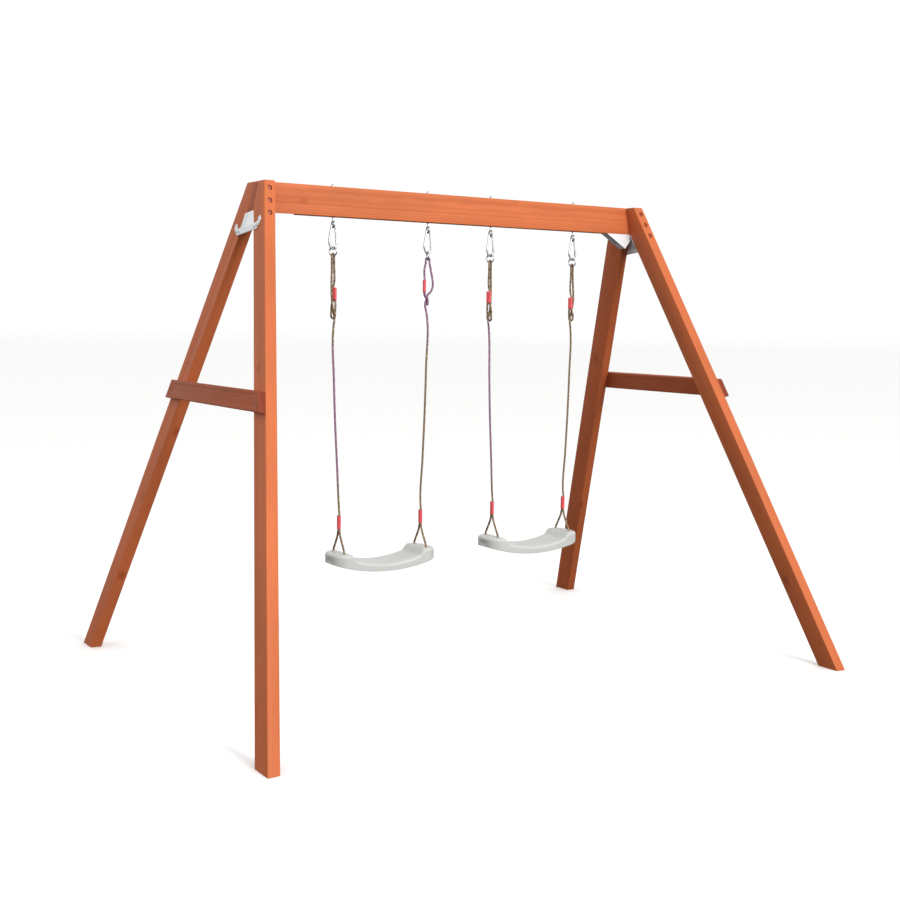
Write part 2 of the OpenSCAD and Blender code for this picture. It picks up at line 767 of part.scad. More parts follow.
// Right half of the sitting surface and of the lower edge, from the middle out.
function seat_top() = concat(
    [for (i = [0:8]) [i * shoulder_in / 8, seat_mid_h + rise * pow(i / 8, 2)]],
    [[shoulder_in + 7, seat_mid_h + rise + 7],
     [shoulder_out - 4, hole_top - 4],
     [shoulder_out + 4, hole_top],
     [seat_l / 2 - 22, hole_top],
     [seat_l / 2 - 9, hole_top - 3],
     [seat_l / 2 - 2, hole_top - 12],
     [seat_l / 2, hole_top - 24]]
);
function seat_under() = [for (i = [8:-1:0]) [seat_l / 2 * i / 8, 36 * pow(i / 8, 2)]];
function inset_top(t) = concat(
    [for (i = [0:8]) [i * (shoulder_in + t) / 8, seat_mid_h - t + rise * pow(i / 8, 2)]],
    [[shoulder_out + t, hole_top - t],
     [seat_l / 2 - 20 - t / 2, hole_top - t],
     [seat_l / 2 - t, hole_top - 22 - t / 2]]
);

module both_ways(half) {
    for (x = [0, 1]) mirror([x, 0, 0]) rotate([90, 0, 0]) linear_extrude(seat_w, center = true)
        polygon(half);
}
module plan(inset) {
    r = corner_r - inset;
    x = seat_l / 2 - corner_r;
    y = seat_w / 2 - corner_r;
    for (i = [-1, 1]) for (j = [-1, 1]) translate([i * x, j * y]) circle(r);
    square([2 * (x + r), 2 * y], center = true);
    square([2 * x, 2 * (y + r)], center = true);
}

module seat(swing) {
    color(PLASTIC) translate([(swing - 0.5) * swing_pitch, 0, seat_low(swing)]) difference() {
        union() {
            difference() {
                intersection() {
                    both_ways(concat(seat_top(), seat_under()));
                    linear_extrude(hole_top + 10) plan(0);
                }
                intersection() {
                    both_ways(concat(inset_top(seat_wall), [[seat_l / 2 - seat_wall, -1], [0, -1]]));
                    translate([0, 0, -1]) linear_extrude(hole_top + 10) plan(seat_wall);
                }
            }
            // Ribs across the hollow underside.
            intersection() {
                for (x = ribs) translate([x - rib_t / 2, -seat_w / 2 + 1, 0])
                    cube([rib_t, seat_w - 2, hole_top]);
                both_ways(concat(seat_top(), [for (p = seat_under()) p + [0, 4]]));
            }
        }
        for (x = [-1, 1]) for (y = [-1, 1])
            translate([x * hole_gap_x / 2, y * hole_gap_y / 2, -1]) cylinder(d = hole_d, h = hole_top + 10);
    }
}
module seat_left() { seat(0); }
module seat_right() { seat(1); }

top_beam();
leg_front_left();
leg_back_left();
leg_front_right();
leg_back_right();
crossbar_left();
crossbar_right();
apex_bolts_left();
apex_bolts_right();
apex_nuts_left();
apex_nuts_right();
crossbar_screws();
corner_gusset_left();
corner_gusset_right();
gusset_screws();
hook_plate_left();
hook_plate_right();
hook_plate_screws();
eye_bolt_1();
eye_bolt_2();
eye_bolt_3();
eye_bolt_4();
eye_bolt_nuts();
eye_bolt_washers();
carabiner_1();
carabiner_2();
carabiner_3();
carabiner_4();
carabiner_gate_1();
carabiner_gate_2();
carabiner_gate_3();
carabiner_gate_4();
rope_ring_1();
rope_ring_2();
rope_ring_3();
rope_ring_4();
rope_1();
rope_2();
rope_3();
rope_4();
upper_sleeve_1();
upper_sleeve_2();
upper_sleeve_3();
upper_sleeve_4();
lower_sleeve_1();
lower_sleeve_2();
lower_sleeve_3();
lower_sleeve_4();
seat_left();
seat_right();
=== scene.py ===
"""A garden swing set: a stained wooden beam on two splayed A-frames, with two rope swings.

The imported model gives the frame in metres, +X along the beam, +Y to the back, +Z up. The sections follow
the object as it is put together: timber, bolts, steel plates, hanging hardware, ropes, sleeves and seats.
"""

import math

import bmesh
import bpy
import numpy as np
from mathutils import Matrix, Vector


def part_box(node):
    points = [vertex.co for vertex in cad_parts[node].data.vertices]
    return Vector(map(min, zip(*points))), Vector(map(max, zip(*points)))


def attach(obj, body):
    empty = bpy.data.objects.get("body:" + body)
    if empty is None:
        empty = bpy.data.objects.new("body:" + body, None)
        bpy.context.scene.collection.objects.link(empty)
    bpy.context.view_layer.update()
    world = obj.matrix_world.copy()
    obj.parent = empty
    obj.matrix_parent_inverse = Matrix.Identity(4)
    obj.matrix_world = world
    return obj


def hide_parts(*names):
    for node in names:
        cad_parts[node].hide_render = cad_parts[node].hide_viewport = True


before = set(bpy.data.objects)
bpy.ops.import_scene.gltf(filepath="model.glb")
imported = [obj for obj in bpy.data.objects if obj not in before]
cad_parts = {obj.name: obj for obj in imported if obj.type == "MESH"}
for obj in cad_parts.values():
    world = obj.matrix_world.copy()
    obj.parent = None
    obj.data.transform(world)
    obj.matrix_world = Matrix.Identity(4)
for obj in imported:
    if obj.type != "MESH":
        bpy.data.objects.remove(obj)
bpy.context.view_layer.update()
scene = bpy.context.scene


# ---------- The studio ----------
# A camera at a standing adult's chest height, at the front left corner of the set, looks along the beam.
# The floor is a pale seamless plane, lit by a big soft box in front and by an even white room.

def camera_turn(yaw, pitch, roll):
    """Right, up and backward directions of a camera that faces +Y, is turned to the right by yaw, tilted up
    by pitch, and rolled about its own line of sight by roll, as the columns of a matrix."""
    ahead = Vector((math.sin(yaw) * math.cos(pitch), math.cos(yaw) * math.cos(pitch), math.sin(pitch)))
    level = Vector((math.cos(yaw), -math.sin(yaw), 0.0))
    up = level.cross(ahead)
    right = level * math.cos(roll) + up * math.sin(roll)
    above = up * math.cos(roll) - level * math.sin(roll)
    return Matrix((right, above, -ahead)).transposed()


camera = bpy.data.objects.new("camera", bpy.data.cameras.new("camera"))
camera.data.lens = 52.95
camera.data.shift_x, camera.data.shift_y = -0.0667, 0.0222
camera.data.clip_end = 200.0
camera.matrix_world = Matrix.LocRotScale(
    Vector((-2.8866, -4.7877, 1.4368)),
    camera_turn(math.radians(33.3879), math.radians(-6.3952), math.radians(0.8569)).to_quaternion(),
    None,
)
scene.collection.objects.link(camera)
scene.camera = camera
scene.view_settings.view_transform = "Standard"


def linear(hex_colour):
    """An sRGB hex colour as linear red, green, blue and a full alpha."""
    parts = np.array([int(hex_colour[i:i + 2], 16) / 255 for i in (1, 3, 5)])
    return (*np.where(parts <= 0.04045, parts / 12.92, ((parts + 0.055) / 1.055) ** 2.4), 1.0)


def add_node(material, kind, links=None, **settings):
    """Adds a shader node, sets its properties and its unlinked inputs by name, and links the others."""
    node = material.node_tree.nodes.new("ShaderNode" + kind)
    for name, value in settings.items():
        if hasattr(node, name):
            setattr(node, name, value)
        else:
            node.inputs[name.replace("_", " ")].default_value = value
    for name, source in (links or {}).items():
        material.node_tree.links.new(source, node.inputs[name])
    return node


def new_material(name):
    """An empty node material and its output node."""
    material = bpy.data.materials.new(name)
    material.use_nodes = True
    material.node_tree.nodes.clear()
    return material, add_node(material, "OutputMaterial")


def finish_material(material, output, **sockets):
    """Links a principled shader to the output. Sockets take plain values, or links from nodes' outputs."""
    shader = add_node(material, "BsdfPrincipled")
    for name, value in sockets.items():
        socket = shader.inputs[name.replace("_", " ")]
        if isinstance(value, bpy.types.NodeSocket):
            material.node_tree.links.new(value, socket)
        else:
            socket.default_value = value
    material.node_tree.links.new(shader.outputs[0], output.inputs[0])
    return material


def put(name, points, faces, material, smooth=True):
    """A mesh object at the origin, from an array of points and an array or list of faces."""
    mesh = bpy.data.meshes.new(name)
    mesh.from_pydata(np.asarray(points, float).tolist(), [], [list(f) for f in faces])
    mesh.polygons.foreach_set("use_smooth", [smooth] * len(mesh.polygons))
    mesh.materials.append(material)
    mesh.update()
    piece = bpy.data.objects.new(name, mesh)
    scene.collection.objects.link(piece)
    return piece


FLOOR_SIZE = 60.0
paper, paper_out = new_material("seamless_paper")
finish_material(paper, paper_out, Base_Color=linear("#F6F6F5"), Roughness=0.9)
floor = put(
    "floor",
    [(x * FLOOR_SIZE, y * FLOOR_SIZE, 0.0) for x, y in ((-1, -1), (1, -1), (1, 1), (-1, 1))],
    [(0, 1, 2, 3)],
    paper,
)
# The paper shows no tint of its own on the set, as on a big dark stage with the set lifted clear of it.
floor.visible_diffuse = False
floor.visible_glossy = False

# The room is white above the horizon and dark below it.
world = bpy.data.worlds.new("white_room")
scene.world = world
world.use_nodes = True
toward = add_node(world, "TexCoord").outputs["Generated"]
height = add_node(world, "SeparateXYZ", {"Vector": toward}).outputs["Z"]
shade = add_node(world, "MapRange", {"Value": height}, From_Min=-0.25, From_Max=0.0, To_Min=0.1, To_Max=1.03)
background = world.node_tree.nodes["Background"]
world.node_tree.links.new(shade.outputs[0], background.inputs["Color"])

LAMP_PLACE = Vector((0.6, -11.0, 5.0))
LAMP_AIM = Vector((0.0, 0.0, 1.0))
lamp = bpy.data.objects.new("soft_box_front", bpy.data.lights.new("soft_box_front", "AREA"))
lamp.data.energy = 1050.0
lamp.data.size = 3.2
lamp.location = LAMP_PLACE
lamp.rotation_euler = (LAMP_AIM - LAMP_PLACE).to_track_quat("-Z", "Y").to_euler()
scene.collection.objects.link(lamp)


# ---------- Timber ----------
# Beam, four legs and two crossbars: planed spruce, dipped in an orange-red wood stain before assembly.
# The saw and the planer leave sharp corners, which are eased by hand to a small round. End grain took more
# stain. Small faces, mostly the eased edges, are drawn darker, and some planks are darker all over, partly
# their own tone and partly painted shade.

EASE = 0.0028
RIM_EASE = 0.0007
SHORT_EDGE = 0.02
WELD = 2e-5
END_GRAIN = 0.35
ACROSS_GRAIN = 0.7
SMALL_FACE = 0.22
SMALL_SHARE = 60


def eased(node, name, material, body, ease=EASE, rim=RIM_EASE):
    """A copy of a CAD node with its loose triangles merged and its long sharp edges rounded off. The edges
    of small holes get a fine chamfer instead. The copy replaces the node."""
    shape = bmesh.new()
    shape.from_mesh(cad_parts[node].data)
    bmesh.ops.remove_doubles(shape, verts=shape.verts, dist=WELD)
    bmesh.ops.dissolve_limit(
        shape, angle_limit=math.radians(1.0), verts=shape.verts, edges=shape.edges
    )
    sharp = [e for e in shape.edges if len(e.link_faces) == 2 and e.calc_face_angle(0.0) > math.radians(25)]
    for width, edges in (
        (ease, [e for e in sharp if e.calc_length() > SHORT_EDGE]),
        (rim, [e for e in sharp if e.calc_length() <= SHORT_EDGE]),
    ):
        edges = [e for e in edges if e.is_valid]
        if edges:
            bmesh.ops.bevel(
                shape, geom=edges, offset=width, segments=3, profile=0.5, affect="EDGES", clamp_overlap=True
            )
    bmesh.ops.triangulate(shape, faces=[f for f in shape.faces if len(f.verts) > 4])
    mesh = bpy.data.meshes.new(name)
    shape.to_mesh(mesh)
    shape.free()
    mesh.polygons.foreach_set("use_smooth", [True] * len(mesh.polygons))
    mesh.materials.append(material)
    piece = bpy.data.objects.new(name, mesh)
    scene.collection.objects.link(piece)
    mesh.set_sharp_from_angle(angle=math.radians(32))
    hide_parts(node)
    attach(piece, body)
    return piece


def points_of(mesh):
    """The mesh's points as an array with one row each."""
    flat = np.zeros(len(mesh.vertices) * 3)
    mesh.vertices.foreach_get("co", flat)
    return flat.reshape(-1, 3)


def run_grain(piece, along, shift, depth=0.0):
    """Stores each point's place in the plank as an attribute: along the plank, then across it both ways.
    shift moves the plank along the tree, so that no two show the same wood. A second attribute says how
    much darker each face is drawn: depth for the whole plank, partly the wood's own tone and partly painted
    shade, more on end grain, which took more stain, and on small faces."""
    along = np.asarray(along, float) / np.linalg.norm(along)
    flat = np.cross(along, (0.0, 0.0, 1.0) if abs(along[2]) < 0.7 else (0.0, 1.0, 0.0))
    flat /= np.linalg.norm(flat)
    points = points_of(piece.data)
    place = (points - points.mean(axis=0)) @ np.array([along, flat, np.cross(along, flat)]).T
    place += np.array(shift)
    grain = piece.data.attributes.new("grain", "FLOAT_VECTOR", "POINT")
    grain.data.foreach_set("vector", place.astype(np.float32).ravel())
    facing = np.zeros(len(piece.data.polygons) * 3)
    piece.data.polygons.foreach_get("normal", facing)
    lengthways = np.abs(facing.reshape(-1, 3) @ along)
    area = np.zeros(len(piece.data.polygons))
    piece.data.polygons.foreach_get("area", area)
    small = area < np.percentile(area, SMALL_SHARE)
    # How much darker each face is drawn: end grain that took more stain, small faces, and depth, a darkening
    # of the whole plank that is partly the wood's own tone and partly painted shade.
    taken = depth + END_GRAIN * (lengthways > ACROSS_GRAIN) + SMALL_FACE * small
    stain_and_shade = piece.data.attributes.new("stain_and_shade", "FLOAT", "FACE")
    stain_and_shade.data.foreach_set("value", np.clip(taken, 0, 1).astype(np.float32))


def stained_spruce(name, light, dark, knot, deep_stain_and_shade):
    """Planed spruce under an orange-red stain. The eye sees an even colour with faint growth lines about
    4 mm apart, a few soft knots, and a low satin gloss broken by the fibres."""
    m, out = new_material(name)
    place = add_node(m, "Attribute", attribute_name="grain").outputs["Vector"]
    # Growth rings round the tree's heart, which lies 60 mm off the plank; they wander along the length.
    heart = add_node(m, "Mapping", {"Vector": place}, Location=(0.0, 0.06, 0.035), Scale=(0.12, 1.0, 1.0))
    rings = add_node(
        m, "TexWave", {"Vector": heart.outputs[0]}, wave_type="RINGS", rings_direction="X",
        Scale=62.0, Distortion=3.2, Detail=3.0, Detail_Scale=1.2, Detail_Roughness=0.62,
    )
    # Fibres 1 mm wide and 60 mm long; real ones are finer, and are drawn this coarse so that they show.
    fine = add_node(m, "Mapping", {"Vector": place}, Scale=(16.0, 900.0, 900.0))
    fibres = add_node(m, "TexNoise", {"Vector": fine.outputs[0]}, Scale=1.0, Detail=4.0, Roughness=0.6)
    # Broad patches where the wood drinks more stain.
    broad = add_node(m, "Mapping", {"Vector": place}, Scale=(2.2, 9.0, 9.0))
    patches = add_node(m, "TexNoise", {"Vector": broad.outputs[0]}, Scale=1.0, Detail=3.0, Roughness=0.5)
    # Knots: one in some cells of a coarse net, 12 to 20 mm across.
    net = add_node(m, "Mapping", {"Vector": place}, Scale=(5.5, 8.5, 8.5))
    cells = add_node(m, "TexVoronoi", {"Vector": net.outputs[0]}, Scale=1.0, Randomness=1.0)
    knots = add_node(m, "MapRange", {"Value": cells.outputs["Distance"]},
                     From_Min=0.03, From_Max=0.2, To_Min=0.55, To_Max=0.0, interpolation_type="SMOOTHSTEP")

    line = add_node(m, "MapRange", {"Value": rings.outputs["Fac"]},
                    From_Min=0.25, From_Max=1.0, To_Min=0.0, To_Max=0.42, interpolation_type="SMOOTHSTEP")
    ground = add_node(m, "Mix", {"Factor": line.outputs[0]}, data_type="RGBA")
    ground.inputs[6].default_value = linear(light)
    ground.inputs[7].default_value = linear(dark)
    drunk = add_node(m, "MapRange", {"Value": patches.outputs["Fac"]},
                    From_Min=0.3, From_Max=0.7, To_Min=1.07, To_Max=0.9)
    streak = add_node(m, "MapRange", {"Value": fibres.outputs["Fac"]},
                      From_Min=0.3, From_Max=0.7, To_Min=0.94, To_Max=1.05)
    tone = add_node(m, "Math", {0: drunk.outputs[0], 1: streak.outputs[0]}, operation="MULTIPLY")
    toned = add_node(m, "VectorMath", {0: ground.outputs[2], "Scale": tone.outputs[0]}, operation="SCALE")
    stain_and_shade = add_node(m, "Attribute", attribute_name="stain_and_shade").outputs["Fac"]
    # Where a face took more stain, or has shade painted on, the colour is multiplied by the deep one.
    stained_and_shaded = add_node(m, "Mix", {"Factor": stain_and_shade, 6: toned.outputs[0]},
                      data_type="RGBA", blend_type="MULTIPLY")
    stained_and_shaded.inputs[7].default_value = linear(deep_stain_and_shade)
    knotted = add_node(m, "Mix", {"Factor": knots.outputs[0], 6: stained_and_shaded.outputs[2]}, data_type="RGBA")
    knotted.inputs[7].default_value = linear(knot)

    relief = add_node(m, "Math", {0: fibres.outputs["Fac"], 1: rings.outputs["Fac"]}, operation="ADD")
    bump = add_node(m, "Bump", {"Height": relief.outputs[0]}, Strength=0.22, Distance=0.0004)
    gloss = add_node(m, "MapRange", {"Value": fibres.outputs["Fac"]},
                     From_Min=0.2, From_Max=0.8, To_Min=0.52, To_Max=0.68)
    return finish_material(m, out, Base_Color=knotted.outputs[2], Roughness=gloss.outputs[0],
                           Normal=bump.outputs[0], Specular_IOR_Level=0.22)


spruce = stained_spruce("stained_spruce", "#C76B3E", "#B25A30", "#83391F", "#85523E")

beam = eased("top_beam", "planed_beam", spruce, "frame")
run_grain(beam, (1, 0, 0), (0.0, 0.02, 0.0))
# Each leg's depth darkens it all over. The back right leg's depth is the largest: partly its own tone, partly
# painted shade where it stands in shadow.
for k, node in enumerate(("leg_front_left", "leg_back_left", "leg_front_right", "leg_back_right")):
    leg = eased(node, "planed_" + node, spruce, "frame")
    ends = points_of(leg.data)
    foot = ends[ends[:, 2] < ends[:, 2].min() + 0.003].mean(axis=0)
    head = ends[ends[:, 2] > ends[:, 2].max() - 0.003].mean(axis=0)
    run_grain(leg, foot - head, (3.7 * (k + 1), 0.013 * k, 0.0), depth=(0.05, 0.12, 0.1, 0.3)[k])
# The crossbars' depth darkens them all over: partly their own tone, partly painted shade where they stand in
# shadow.
for k, node in enumerate(("crossbar_left", "crossbar_right")):
    bar = eased(node, "planed_" + node, spruce, "frame")
    run_grain(bar, (0, 1, 0), (23.0 + 5.1 * k, 0.01, 0.02), depth=0.5)

# The crossbars' screw heads are sunk and stained over with the wood.
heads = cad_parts["crossbar_screws"]
stained_heads, stained_heads_out = new_material("stained_screw_heads")
fleck_place = add_node(stained_heads, "TexCoord").outputs["Object"]
flecks = add_node(stained_heads, "TexNoise", {"Vector": fleck_place}, Scale=900.0, Detail=2.0)
fleck_colour = add_node(stained_heads, "Mix", {"Factor": flecks.outputs["Fac"]}, data_type="RGBA")
fleck_colour.inputs[6].default_value = linear("#B75C33")
fleck_colour.inputs[7].default_value = linear("#96431F")
finish_material(stained_heads, stained_heads_out, Base_Color=fleck_colour.outputs[2], Roughness=0.5)
heads.data.materials.clear()
heads.data.materials.append(stained_heads)


# ---------- Apex bolts ----------
# Three zinc-plated hexagon bolts at each end go from leg to leg through the beam, in counterbores drilled
# down the sloping edges. They are tightened before the frame is stained, so their heads took the stain.

stained_zinc, stained_zinc_out = new_material("stain_over_zinc")
bolt_place = add_node(stained_zinc, "TexCoord").outputs["Object"]
worn = add_node(stained_zinc, "TexNoise", {"Vector": bolt_place}, Scale=420.0, Detail=3.0)
bare = add_node(stained_zinc, "MapRange", {"Value": worn.outputs["Fac"]},
                From_Min=0.52, From_Max=0.68, To_Min=0.0, To_Max=0.5)
bolt_colour = add_node(stained_zinc, "Mix", {"Factor": bare.outputs[0]}, data_type="RGBA")
bolt_colour.inputs[6].default_value = linear("#A2482B")
bolt_colour.inputs[7].default_value = linear("#8A7468")
finish_material(stained_zinc, stained_zinc_out, Base_Color=bolt_colour.outputs[2], Roughness=0.5)


def bright_zinc(name, colour, rough):
    """Bright zinc plate over steel: a cold light grey mirror, a little dulled and clouded by handling."""
    m, out = new_material(name)
    place = add_node(m, "TexCoord").outputs["Object"]
    clouds = add_node(m, "TexNoise", {"Vector": place}, Scale=140.0, Detail=4.0, Roughness=0.6)
    grit = add_node(m, "TexNoise", {"Vector": place}, Scale=2600.0, Detail=2.0)
    dull = add_node(m, "MapRange", {"Value": clouds.outputs["Fac"]},
                    From_Min=0.3, From_Max=0.7, To_Min=rough - 0.07, To_Max=rough + 0.12)
    tone = add_node(m, "Mix", {"Factor": clouds.outputs["Fac"]}, data_type="RGBA")
    tone.inputs[6].default_value = linear(colour)
    tone.inputs[7].default_value = linear("#B9BDC1")
    bump = add_node(m, "Bump", {"Height": grit.outputs["Fac"]}, Strength=0.12, Distance=0.0002)
    return finish_material(m, out, Base_Color=tone.outputs[2], Metallic=1.0, Roughness=dull.outputs[0],
                           Normal=bump.outputs[0])


zinc = bright_zinc("bright_zinc_plate", "#C9CDD0", 0.36)


def repaint(node, material):
    """Gives a CAD node's own mesh this material."""
    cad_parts[node].data.materials.clear()
    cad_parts[node].data.materials.append(material)


for node in ("apex_bolts_left", "apex_bolts_right"):
    repaint(node, stained_zinc)
for node in ("apex_nuts_left", "apex_nuts_right", "gusset_screws", "hook_plate_screws",
             "eye_bolt_nuts", "eye_bolt_washers"):
    repaint(node, zinc)


# ---------- Steel plates ----------
# Corner gussets folded from 3 mm sheet sit under the beam's ends, and an anchor-shaped hook plate is screwed
# across each A-frame. Both are laser-cut, tumbled so that their edges are soft, and powder-coated white.

PLATE_EASE = 0.0008


def powder_coat(name, colour):
    """White polyester powder coat: a satin surface with a fine orange peel, 2 mm from crest to crest."""
    m, out = new_material(name)
    place = add_node(m, "TexCoord").outputs["Object"]
    peel = add_node(m, "TexNoise", {"Vector": place}, Scale=500.0, Detail=1.0)
    dust = add_node(m, "TexNoise", {"Vector": place}, Scale=26.0, Detail=4.0)
    tone = add_node(m, "Mix", {"Factor": dust.outputs["Fac"]}, data_type="RGBA")
    tone.inputs[6].default_value = linear(colour)
    tone.inputs[7].default_value = linear("#D6D9DC")
    bump = add_node(m, "Bump", {"Height": peel.outputs["Fac"]}, Strength=0.15, Distance=0.0003)
    return finish_material(m, out, Base_Color=tone.outputs[2], Roughness=0.42, Normal=bump.outputs[0])


white_steel = powder_coat("white_powder_coat", "#F1F3F5")
for side in ("left", "right"):
    for node in ("corner_gusset_", "hook_plate_"):
        eased(node + side, "coated_" + node + side, white_steel, "frame",
              ease=PLATE_EASE, rim=PLATE_EASE / 2)


# ---------- Eye bolts ----------
# Each is one length of 7 mm wire, bent into an eye, with a rolled thread that goes up through the beam to
# a nut on a washer. The eye's end is closed against the neck.

def grid_faces(rows, columns, wrap_rows=False, wrap_columns=True):
    """Four-sided faces between neighbours on a grid of points stored row by row. A wrapped direction joins
    its last line to its first."""
    i, j = np.meshgrid(np.arange(rows if wrap_rows else rows - 1),
                       np.arange(columns if wrap_columns else columns - 1), indexing="ij")
    i, j = i.ravel(), j.ravel()
    below, beside = (i + 1) % rows, (j + 1) % columns
    return np.stack([i * columns + j, i * columns + beside, below * columns + beside, below * columns + j], 1)


def capped(rows, columns):
    """The faces of a tube whose two end rings are each closed by one face."""
    faces = grid_faces(rows, columns).tolist()
    return faces + [list(range(columns))[::-1], list(range((rows - 1) * columns, rows * columns))]


def merged(*parts):
    """Several (points, faces) pairs as one: each part's faces count on from the points before it."""
    points = np.concatenate([p for p, f in parts])
    starts = np.cumsum([0] + [len(p) for p, f in parts])
    return points, [[v + start for v in f] for start, (p, faces) in zip(starts, parts) for f in faces]


def outward(piece):
    """Turns every face of a closed piece to point out of it."""
    shape = bmesh.new()
    shape.from_mesh(piece.data)
    bmesh.ops.recalc_face_normals(shape, faces=shape.faces)
    shape.to_mesh(piece.data)
    shape.free()
    return piece


def directions(path):
    """Unit directions along a path: at each point that of the chord between its neighbours."""
    step = np.gradient(path, axis=0)
    return step / np.linalg.norm(step, axis=1, keepdims=True)


def carried_across(path):
    """Two directions across a path at each point, carried along it without twist: each is the last one
    with its part along the path taken out."""
    ahead = directions(path)
    across = np.empty_like(path)
    last = np.cross(ahead[0], (0.31, 0.87, 0.38))
    for k, way in enumerate(ahead):
        last = last - (last @ way) * way
        last = last / np.linalg.norm(last)
        across[k] = last
    return across, np.cross(ahead, across)


def tube(path, radius, sides):
    """Rings of points round a path. radius is one number, or an array with one row for each ring."""
    across, other = carried_across(path)
    turn = np.linspace(0, 2 * np.pi, sides, endpoint=False)
    radius = np.broadcast_to(np.asarray(radius, float), (len(path), sides))[..., None]
    way = np.cos(turn)[None, :, None] * across[:, None] + np.sin(turn)[None, :, None] * other[:, None]
    return (path[:, None] + radius * way).reshape(-1, 3), capped(len(path), sides)


def turned_shape(heights, radii, sides, centre):
    """A shape turned on a lathe about an upright line: one ring of points for each height and radius."""
    turn = np.linspace(0, 2 * np.pi, sides, endpoint=False)
    ring = np.stack([np.cos(turn), np.sin(turn), np.zeros(sides)], 1)
    points = ring[None] * np.asarray(radii)[:, None, None]
    points[..., 2] += np.asarray(heights)[:, None]
    return points.reshape(-1, 3) + np.asarray(centre), capped(len(heights), sides)


def hoop(centre, radius, wire, turn, rings=72, sides=20, swell=None):
    """A ring of wire in an upright plane that is turned by an angle from the XZ plane. swell adds to the
    wire's radius round the ring."""
    a = np.linspace(0, 2 * np.pi, rings, endpoint=False)[:, None]
    b = np.linspace(0, 2 * np.pi, sides, endpoint=False)[None]
    thick = wire / 2 + (0 if swell is None else swell(a))
    out = radius + thick * np.cos(b)
    flat = np.stack([out * np.cos(a), thick * np.sin(b) + 0 * a, out * np.sin(a)], -1)
    spin = np.array([[math.cos(turn), -math.sin(turn), 0], [math.sin(turn), math.cos(turn), 0], [0, 0, 1]])
    return flat.reshape(-1, 3) @ spin.T + np.asarray(centre), grid_faces(rings, sides, wrap_rows=True)


THREAD_PITCH = 0.00125
THREAD_DEPTH = 0.0006
EYE_WIRE = 0.007
SHANK_R = 0.004
eye_x = []
for k in range(1, 5):
    low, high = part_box(f"eye_bolt_{k}")
    x = (low.x + high.x) / 2
    eye_x.append(x)
    mean_r = (high.y - low.y) / 2 - EYE_WIRE / 2
    eye_centre = (x, 0.0, low.z + EYE_WIRE / 2 + mean_r)
    neck = eye_centre[2] + mean_r
    # Smooth neck, then a rolled thread of ring grooves, then a chamfered tip.
    smooth_to = neck + 0.03
    thread = np.arange(smooth_to, high.z - 0.001, THREAD_PITCH / 4)
    wave = SHANK_R - THREAD_DEPTH * (0.5 - 0.5 * np.cos(2 * np.pi * (thread - smooth_to) / THREAD_PITCH))
    heights = np.concatenate([[neck - 0.002, neck + 0.001, neck + 0.004], thread, [high.z - 0.0004, high.z]])
    radii = np.concatenate([[0.0044, 0.0042, SHANK_R], wave, [SHANK_R - 0.0006, SHANK_R - 0.0012]])
    points, faces = merged(
        hoop(eye_centre, mean_r, EYE_WIRE, math.pi / 2),
        turned_shape(heights, radii, 20, (x, 0.0, 0.0)),
    )
    eye = outward(put(f"wire_eye_bolt_{k}", points, faces, zinc))
    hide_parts(f"eye_bolt_{k}")
    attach(eye, "frame")


# ---------- Carabiners ----------
# Wire carabiners, 100 mm long, bent from one length of 8 mm steel wire with a pear-shaped outline. The gate
# is a rod with a fork, which turns on a rivet in the wire's flattened end and shuts on the nose.

HOOK_WIRE = 0.008
HOOK_TOP_R = 0.008
HOOK_LOW_R = 0.012
HOOK_HALF = 0.018
WIDEST = 0.026
PIVOT = np.array([0.0165, 0.020])
WIRE_END = np.array([0.0130, 0.0122])
NOSE_DROP = 0.016
GATE_D = 0.0068
FORK_D = 0.0076
FORK_W = 0.0066
TONGUE_T = 0.0036
SHUT_GAP = 0.0003


def evened(path, step):
    """The same line with its points spaced evenly along it."""
    run = np.concatenate([[0], np.cumsum(np.linalg.norm(np.diff(path, axis=0), axis=1))])
    places = np.linspace(0, run[-1], max(4, int(round(run[-1] / step)) + 1))
    return np.stack([np.interp(places, run, path[:, k]) for k in range(path.shape[1])], 1)


def softened(path, step, reach):
    """An evened line whose corners are rounded: each point is the mean of those within reach of it."""
    path = evened(path, step)
    n = max(1, int(reach / step))
    first = 2 * path[0] - path[n:0:-1]
    last = 2 * path[-1] - path[-2:-n - 2:-1]
    window = np.hanning(2 * n + 3)[1:-1]
    padded = np.concatenate([first, path, last])
    window = window / window.sum()
    return np.stack([np.convolve(padded[:, k], window, "valid") for k in range(path.shape[1])], 1)


def arc(centre, radius, start, stop, n=16):
    """Points on an arc in a plane, from one angle to another, in degrees."""
    a = np.radians(np.linspace(start, stop, n))
    return np.stack([centre[0] + radius * np.cos(a), centre[1] + radius * np.sin(a)], 1)


def upright(flat, x, z):
    """A line in a plane, as (right, up), put in the XZ plane with its origin at x, 0, z."""
    return np.stack([x + flat[:, 0], np.zeros(len(flat)), z + flat[:, 1]], 1)


def cheek(outline, y_low, y_high, x, z):
    """A flat plate between two places across Y, with an outline in the XZ plane."""
    n = len(outline)
    ring = upright(outline, x, z)
    points = np.concatenate([ring + (0, y, 0) for y in (y_low, y_high)])
    return points, capped(2, n)


def stadium(a, b, d, n=12):
    """The outline of a flat bar with round ends, from a to b, as wide as d."""
    way = (b - a) / np.linalg.norm(b - a)
    heading = math.degrees(math.atan2(way[1], way[0]))
    far, near = arc(b, d / 2, heading - 90, heading + 90, n), arc(a, d / 2, heading + 90, heading + 270, n)
    return np.concatenate([far, near])


